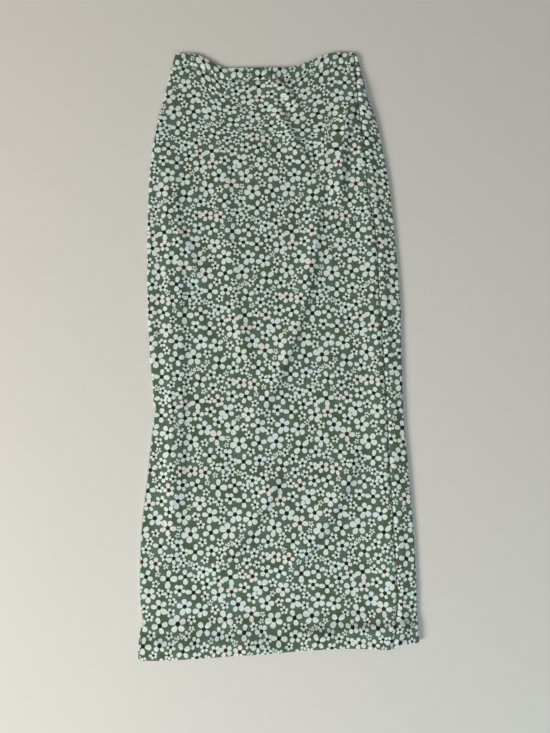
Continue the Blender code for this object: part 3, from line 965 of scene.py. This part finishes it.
def makeWrongSide(name):
    # the daisies only just show through
    material, tree, shader, art, grain = startJersey(name, unprinted["bump"])
    ground, daisies = unprinted["throughGround"], unprinted["throughDaisies"]
    through = mathsIn(tree)("MULTIPLY_ADD", art.outputs["Petals"], daisies - ground, ground)
    colour = mixColours(tree, through, unprinted["colour"], unprinted["showThrough"])
    tree.links.new(colour, shader.inputs["Base Color"])
    setRoughness(tree, shader, grain, *unprinted["roughness"])
    shader.inputs["Sheen Weight"].default_value = unprinted["sheen"]
    return material


threads = {
    "sage": (0.20, 0.26, 0.20, 1.0),
    "white": (0.80, 0.81, 0.79, 1.0),
    "dark": 0.72,
    "twistScale": 900.0,
    "twistDepth": 0.00035,
    "bump": 0.4,
    "roughness": (0.55, 0.75),
}


def makeThread(name, colour):
    material, tree, shader = startMaterial(name)
    place = addNode(tree, "ShaderNodeTexCoord").outputs["Object"]
    grain = noise(tree, place, threads["twistScale"], 2.0)
    dark = tuple(threads["dark"] * c for c in colour[:3]) + (1.0,)
    tree.links.new(mixColours(tree, grain, dark, colour), shader.inputs["Base Color"])
    heights = {"Strength": threads["bump"], "Distance": threads["twistDepth"], "Height": grain}
    tree.links.new(addNode(tree, "ShaderNodeBump", heights).outputs["Normal"], shader.inputs["Normal"])
    setRoughness(tree, shader, grain, *threads["roughness"])
    return material


printedJersey = makePrintedJersey("printedJersey", jersey["bump"])
casingJersey = makePrintedJersey("casingJersey", jersey["casingBump"])
wrongSide = makeWrongSide("jerseyWrongSide")
sageThread = makeThread("sageThread", threads["sage"])
whiteThread = makeThread("whiteThread", threads["white"])
print("materials ready")


# The two panels, each one cloth with its hem turned up inside
frontCloth = {
    "columns": (118, 10, 6),  # on top, round the roll and under it
    "rowStep": 0.0028,
    "hemTurn": 5,
    "printShift": (0.0, 0.0),
}
backCloth = {
    "columns": (92, 10, 12),  # flat, round the roll and on top
    "rowStep": 0.0028,
    "hemTurn": 5,
    "printShift": (0.071, 0.047),
}


def panelRows(step):
    low = layout["hemY"] + layer / 2 + clothWall / 2
    high = panelTopY - layout["seamGap"] / 2 - clothWall / 2
    return np.linspace(low, high, round((high - low) / step) + 1)


def withTurnedHem(grid, rows, inward, turnSteps):
    # the cloth folds round at the hem and lies up inside the panel
    normals = gridNormals(grid) * inward
    depth = int(np.searchsorted(rows, hemTopY))
    strip = (grid + normals * layer)[depth:0:-1]
    out = grid[0] - grid[1]
    out = out / np.linalg.norm(out, axis=1, keepdims=True)
    centre = grid[0] + normals[0] * layer / 2
    fold = []
    for step in range(turnSteps + 1):
        angle = math.pi * step / turnSteps
        fold.append(centre + (normals[0] * math.cos(angle) + out * math.sin(angle)) * layer / 2)
    foldRows = rows[0] - (turnSteps - np.arange(turnSteps + 1)) * layer / 2 * math.pi / turnSteps
    stripRows = foldRows[0] - (rows[depth:0:-1] - rows[0])
    hemmed = np.concatenate([strip, np.array(fold), grid[1:]])
    return hemmed, np.concatenate([stripRows, foldRows, rows[1:]])


def printedSide(grid, front):
    # 1 where the grid's normals point out of the printed side, which is up on the front
    return 1.0 if (gridNormals(grid)[5, 5, 2] > 0) == front else -1.0


def makePanel(name, cloth, front):
    rows = panelRows(cloth["rowStep"])
    grid = (frontGrid if front else backGrid)(rows, clothWall, *cloth["columns"])
    printed = printedSide(grid, front)
    hemmed, hemmedRows = withTurnedHem(grid, rows, -printed, cloth["hemTurn"])
    side, seamColumn = (-1, 0) if front else (1, -1)
    coordinates = clothCoordinates(hemmed, hemmedRows, side, cloth["printShift"], seamColumn)
    if front:
        coordinates[..., 0] += printSlip(hemmed[..., 0], hemmed[..., 1])
    if printed < 0:
        hemmed, coordinates = hemmed[:, ::-1], coordinates[:, ::-1]
    piece = roundedWall(name, hemmed, coordinates, clothWall, [printedJersey, wrongSide])
    return piece, grid, rows


frontPanel, frontPoints, frontRows = makePanel("frontPanel", frontCloth, True)
backPanel = makePanel("backPanel", backCloth, False)[0]


# The slit's turned edge, under the front
turnedEdge = {"width": 0.034, "aboveHem": 0.004, "printShift": (0.03, 0.02)}


def makeSlitEdge():
    top = layout["slitTopY"] - layout["slitRun"]
    inside = (frontRows > hemTopY + turnedEdge["aboveHem"]) & (frontRows < top)
    fromEdge = (frontPoints[:, :, 0] - frontPoints[:, -1:, 0])[inside]
    keep = (fromEdge < turnedEdge["width"]).all(axis=0)
    printed = printedSide(frontPoints, True)
    strip = (frontPoints - gridNormals(frontPoints) * printed * layer)[inside][:, keep]
    coordinates = clothCoordinates(strip, frontRows[inside], -1, turnedEdge["printShift"])
    # turned over, so its printed side is down
    if printed > 0:
        strip, coordinates = strip[:, ::-1], coordinates[:, ::-1]
    return roundedWall("slitEdge", strip, coordinates, clothWall, [printedJersey, wrongSide])


slitEdge = makeSlitEdge()


# The casing at the waist; the elastic inside it is not made
casing = {
    "rowStep": 0.0014,
    "frontColumns": (150, 8, 4),
    "backColumns": (130, 8, 4),
    "edgeRings": 5,
    "printShift": (0.031, 0.040),
}


def makeCasing(name, front):
    wall = layout["bandWall"]
    bottom = panelTopY + layout["seamGap"] / 2 + wall / 2
    top = layout["waistY"] - wall / 2
    rows = np.linspace(bottom, top, round((top - bottom) / casing["rowStep"]) + 1)
    if front:
        grid, side, seamColumn = frontGrid(rows, wall, *casing["frontColumns"]), -1, 0
    else:
        grid, side, seamColumn = backGrid(rows, wall, *casing["backColumns"]), 1, -1
    coordinates = clothCoordinates(grid, rows, side, casing["printShift"], seamColumn)
    if printedSide(grid, front) < 0:
        grid, coordinates = grid[:, ::-1], coordinates[:, ::-1]
    return roundedWall(name, grid, coordinates, wall, [casingJersey, casingJersey], casing["edgeRings"])


waistFront = makeCasing("waistFront", True)
waistBack = makeCasing("waistBack", False)


# Sewing, made with Geometry Nodes: a stitch on every point of a line
stitching = {
    "every": 0.0030,
    "long": 0.0022,
    "thick": 0.00042,
    "lean": 0.0,
    "tilt": 0.12,
    "seed": 5,
    "bead": {"Segments": 8, "Rings": 5, "Radius": 0.5},
}


def makeStitchTree():
    tree = bpy.data.node_groups.new("stitchesAlongLine", "GeometryNodeTree")
    face = tree.interface
    face.new_socket("Geometry", in_out="INPUT", socket_type="NodeSocketGeometry")
    for label in ("Every", "Long", "Thick", "Lean"):
        socket = face.new_socket(label, in_out="INPUT", socket_type="NodeSocketFloat")
        socket.default_value = stitching[label.lower()]
    face.new_socket("Seed", in_out="INPUT", socket_type="NodeSocketInt").default_value = stitching["seed"]
    face.new_socket("Thread", in_out="INPUT", socket_type="NodeSocketMaterial")
    face.new_socket("Geometry", in_out="OUTPUT", socket_type="NodeSocketGeometry")
    given = tree.nodes.new("NodeGroupInput").outputs
    result = tree.nodes.new("NodeGroupOutput")

    def add(kind, values=None, **settings):
        return addNode(tree, kind, values, **settings).outputs

    along = {"Curve": given["Geometry"], "Length": given["Every"]}
    spaced = add("GeometryNodeResampleCurve", along, mode="LENGTH")
    bead = add("GeometryNodeMeshUVSphere", stitching["bead"])
    smooth = add("GeometryNodeSetShadeSmooth", {0: bead[0]})
    turned = add("FunctionNodeAlignEulerToVector", {"Vector": add("GeometryNodeInputTangent")[0]}, axis="X")
    limits = {2: -stitching["tilt"], 3: stitching["tilt"], "Seed": given["Seed"]}
    jitter = add("FunctionNodeRandomValue", limits, data_type="FLOAT")
    lean = add("ShaderNodeMath", {0: jitter[1], 1: given["Lean"]}, operation="ADD")
    tilt = add("ShaderNodeCombineXYZ", {"Z": lean[0]})
    both = {"Rotation": turned[0], "Rotate By": tilt[0]}
    rotation = add("FunctionNodeRotateEuler", both, rotation_type="EULER", space="LOCAL")
    size = add("ShaderNodeCombineXYZ", {"X": given["Long"], "Y": given["Thick"], "Z": given["Thick"]})
    placed = add("GeometryNodeInstanceOnPoints", {
        "Points": spaced[0], "Instance": smooth[0], "Rotation": rotation[0], "Scale": size[0]})
    realized = add("GeometryNodeRealizeInstances", {0: placed[0]})
    threaded = add("GeometryNodeSetMaterial", {"Geometry": realized[0], "Material": given["Thread"]})
    tree.links.new(threaded[0], result.inputs[0])
    return tree


stitchTree = makeStitchTree()


def sewLines(name, lines, thread, **sizes):
    curve = bpy.data.curves.new(name + "Line", "CURVE")
    curve.dimensions = "3D"
    for line in lines:
        spline = curve.splines.new("POLY")
        spline.points.add(len(line) - 1)
        for point, place in zip(spline.points, line):
            point.co = (*place, 1.0)
    guide = addObject(name + "Line", curve)
    modifier = guide.modifiers.new("stitches", "NODES")
    modifier.node_group = stitchTree
    sockets = stitchTree.interface.items_tree
    keys = {socket.name: socket.identifier for socket in sockets if socket.in_out == "INPUT"}
    modifier[keys["Thread"]] = thread
    for label, value in sizes.items():
        modifier[keys[label]] = value
    depsgraph = bpy.context.evaluated_depsgraph_get()
    mesh = bpy.data.meshes.new_from_object(guide.evaluated_get(depsgraph))
    mesh.name = name
    guide.modifiers.remove(modifier)
    bpy.data.objects.remove(guide)
    bpy.data.curves.remove(curve)
    print("sewn", name, len(mesh.polygons), "faces")
    return addObject(name, mesh)


def onTop(x, y):
    x, y = np.broadcast_arrays(np.asarray(x, float), np.asarray(y, float))
    return np.stack([x, settledY(x, y), surfaceHeight(x, y) + clothWall / 2], axis=1)


def leftToSeam(y, sewing):
    # across the front, from the left edge to the side seam
    start, end = float(leftEdge(y)) + sewing["fromLeft"], float(topSeam(y)) - sewing["fromSeam"]
    return np.linspace(start, end, sewing["points"])


hemSewing = {"up": (0.0352, 0.0388), "fromLeft": 0.007, "fromSeam": 0.004, "points": 260}
hemRows = [layout["hemY"] + up for up in hemSewing["up"]]
hemStitches = sewLines("hemStitches", [onTop(leftToSeam(y, hemSewing), y) for y in hemRows], sageThread)

casingSewing = {
    "down": 0.0016,
    "apart": 0.0032,
    "fromLeft": 0.010,
    "fromSeam": 0.003,
    "points": 220,
    "sizes": {"Every": 0.0027, "Long": 0.0020},
}


def makeCasingStitches():
    y = panelTopY - casingSewing["down"]
    x = leftToSeam(y, casingSewing)
    lines = [onTop(x, y), onTop(x, y - casingSewing["apart"])]
    return sewLines("casingStitches", lines, sageThread, **casingSewing["sizes"])


casingStitches = makeCasingStitches()

slitSewing = {"fromEdge": 0.033, "aboveHem": 0.006, "belowTop": 0.016, "points": 200}


def makeSlitStitches():
    start, end = hemTopY + slitSewing["aboveHem"], layout["slitTopY"] - slitSewing["belowTop"]
    y = np.linspace(start, end, slitSewing["points"])
    return sewLines("slitStitches", [onTop(leftEdge(y) + slitSewing["fromEdge"], y)], sageThread)


slitStitches = makeSlitStitches()

overlock = {
    "inset": 0.0014,
    "lift": 0.0002,
    "edgeInset": 0.0004,
    "edgeHeight": 0.6,  # share of the cloth's wall
    "aboveHem": 0.004,
    "belowTop": 0.018,
    "points": 260,
    "sizes": {"Every": 0.0016, "Long": 0.0024, "Thick": 0.0006, "Lean": 1.1},
}


def makeSlitOverlock():
    # white overlocking over the back's slit edge
    start, end = layout["hemY"] + overlock["aboveHem"], layout["slitTopY"] - overlock["belowTop"]
    y = np.linspace(start, end, overlock["points"])
    x = leftEdge(y) + overlock["inset"]
    settled = settledY(x, y)
    line = np.stack([x, settled, np.full_like(x, clothWall + overlock["lift"])], axis=1)
    edgeX, edgeZ = leftEdge(y) + overlock["edgeInset"], np.full_like(x, clothWall * overlock["edgeHeight"])
    edge = np.stack([edgeX, settled, edgeZ], axis=1)
    return sewLines("slitOverlock", [line, edge], whiteThread, **overlock["sizes"])


slitOverlock = makeSlitOverlock()


# What each piece stands for, rides on and is cut from
def cutSize(piece):
    # width, length and area of the flat cloth, read from the cloth map of its right side
    mesh = piece.data
    corners = np.empty(len(mesh.loops) * 2, np.float32)
    mesh.uv_layers["cloth"].data.foreach_get("uv", corners)
    quads = corners.reshape(-1, 4, 2)[: len(mesh.polygons) // 2].astype(float)
    low, high = quads.min(axis=(0, 1)), quads.max(axis=(0, 1))
    diagonalA, diagonalB = quads[:, 2] - quads[:, 0], quads[:, 3] - quads[:, 1]
    area = np.abs(diagonalA[:, 0] * diagonalB[:, 1] - diagonalA[:, 1] * diagonalB[:, 0]).sum() / 2
    return [float(high[0] - low[0]), float(high[1] - low[1])], float(area)


def meshArea(piece):
    return sum(polygon.area for polygon in piece.data.polygons)


def dressPiece(piece, nodes):
    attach(piece, "root")
    if nodes:
        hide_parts(*nodes)


def declareCloth(piece):
    flat, area = cutSize(piece)
    print(piece.name, "is cut", [round(side, 4) for side in flat], "area", round(area, 4),
          "and lies over", round(meshArea(piece) / 2, 4))


for sewing in (hemStitches, casingStitches, slitStitches, slitOverlock):
    dressPiece(sewing, ())
dressPiece(backPanel, ("back_panel", "back_hem"))
dressPiece(frontPanel, ("front_panel", "front_hem"))
dressPiece(slitEdge, ("front_slit_edge",))
dressPiece(waistBack, ("waistband_back",))
dressPiece(waistFront, ("waistband_front",))
declareCloth(backPanel)
declareCloth(frontPanel)
declareCloth(slitEdge)
declareCloth(waistBack)
declareCloth(waistFront)


# Floor, lights and camera
studio = {
    "floorColour": (0.70, 0.655, 0.60, 1.0),
    "floorSize": 7.0,
    "floorSides": 96,
    "floorRoughness": 0.85,
    "floorGrain": 60.0,
    "floorLighter": 1.04,
    "skyColour": (0.96, 0.97, 0.96, 1.0),
    "skyStrength": 0.25,
    "keyFrom": (-2.54, -1.24, 1.50),
    "keySize": 1.3,
    "keyPower": 100.0,
    "keyColour": (1.0, 0.965, 0.905),
    "fillFrom": (0.5, -1.9, 1.5),
    "fillSize": 1.6,
    "fillPower": 18.0,
    "fillColour": (0.58, 0.87, 1.0),
}


def makeFloor():
    sides, size = studio["floorSides"], studio["floorSize"]
    turns = [2 * math.pi * side / sides for side in range(sides)]
    rim = [(size * math.cos(turn), size * math.sin(turn), 0) for turn in turns]
    mesh = bpy.data.meshes.new("floor")
    mesh.from_pydata(rim, [], [range(sides)])
    material, tree, shader = startMaterial("paleFloor")
    place = addNode(tree, "ShaderNodeTexCoord").outputs["Object"]
    grain = noise(tree, place, studio["floorGrain"], 3.0)
    lighter = tuple(c * studio["floorLighter"] for c in studio["floorColour"][:3]) + (1.0,)
    colour = mixColours(tree, grain, studio["floorColour"], lighter)
    tree.links.new(colour, shader.inputs["Base Color"])
    shader.inputs["Roughness"].default_value = studio["floorRoughness"]
    mesh.materials.append(material)
    floor = addObject("floor", mesh)


def makeLamp(name):
    # a round lamp that faces the skirt
    lamp = bpy.data.lights.new(name + "Lamp", "AREA")
    lamp.shape = "DISK"
    lamp.size = studio[name + "Size"]
    lamp.energy = studio[name + "Power"]
    lamp.color = studio[name + "Colour"]
    lampObject = addObject(name + "Lamp", lamp)
    place = Vector(studio[name + "From"])
    lampObject.location = place
    lampObject.rotation_euler = (-place).to_track_quat("-Z", "Y").to_euler()


def makeSky():
    world = bpy.data.worlds.new("studioSky")
    world.use_nodes = True
    background = world.node_tree.nodes["Background"]
    background.inputs["Color"].default_value = studio["skyColour"]
    background.inputs["Strength"].default_value = studio["skyStrength"]
    scene.world = world


# A phone held over the skirt, tipped a little towards the hem and the slit
view = {
    "place": (-0.0355, -0.1014, 0.8232),
    "aim": (0.0035, -0.0392, 0.0),
    "turn": 1.516,  # degrees
    "focal": 27.07,
    "sensor": 36.0,
    "nearest": 0.01,
}


def makeCamera():
    camera = bpy.data.cameras.new("camera")
    camera.lens = view["focal"]
    camera.sensor_width = view["sensor"]
    camera.clip_start = view["nearest"]
    place, aim = Vector(view["place"]), Vector(view["aim"])
    turn = math.radians(view["turn"])
    back = (place - aim).normalized()
    right = Vector((math.sin(turn), math.cos(turn), 0.0)).cross(back).normalized()
    axes = Matrix((right, back.cross(right), back)).transposed()
    scene.camera = addObject("camera", camera)
    scene.camera.matrix_world = Matrix.Translation(place) @ axes.to_4x4()


makeFloor()
makeLamp("key")
makeLamp("fill")
makeSky()
makeCamera()
print("studio ready")
